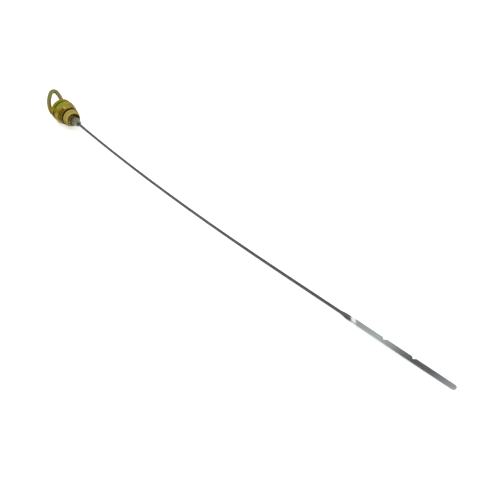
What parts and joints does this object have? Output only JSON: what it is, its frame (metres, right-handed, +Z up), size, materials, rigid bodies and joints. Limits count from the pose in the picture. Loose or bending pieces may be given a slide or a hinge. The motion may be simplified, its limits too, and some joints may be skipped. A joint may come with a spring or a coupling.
{
  "type": "engine oil dipstick",
  "caption": "Oil dipstick with a plated hexagon head, a bent wire pull loop, a seal ring on its spigot, and a long bowed gauge wire pressed flat into a notched blade.",
  "frame": {"origin": "on the head's axis, at the root of the locating spigot, where the seal groove begins", "axes": "+X along the head's axis towards the blade, +Z up with the part lying on a flat of its hexagon"},
  "size_m": [0.5405, 0.0595, 0.0272],
  "materials": {
    "wire_steel": "drawn, dull",
    "ferrule_steel": "zinc plated, satin",
    "plated_steel": "yellow passivated zinc, iridescent",
    "seal_rubber": "matte",
    "loop_steel": "yellow passivated zinc, iridescent"
  },
  "bodies": {
    "root": {"gauge_wire": "wire_steel", "crimp_ferrule": "ferrule_steel", "head_plug": "plated_steel", "seal_ring": "seal_rubber", "pull_loop": "loop_steel"}
  },
  "joints": []
}
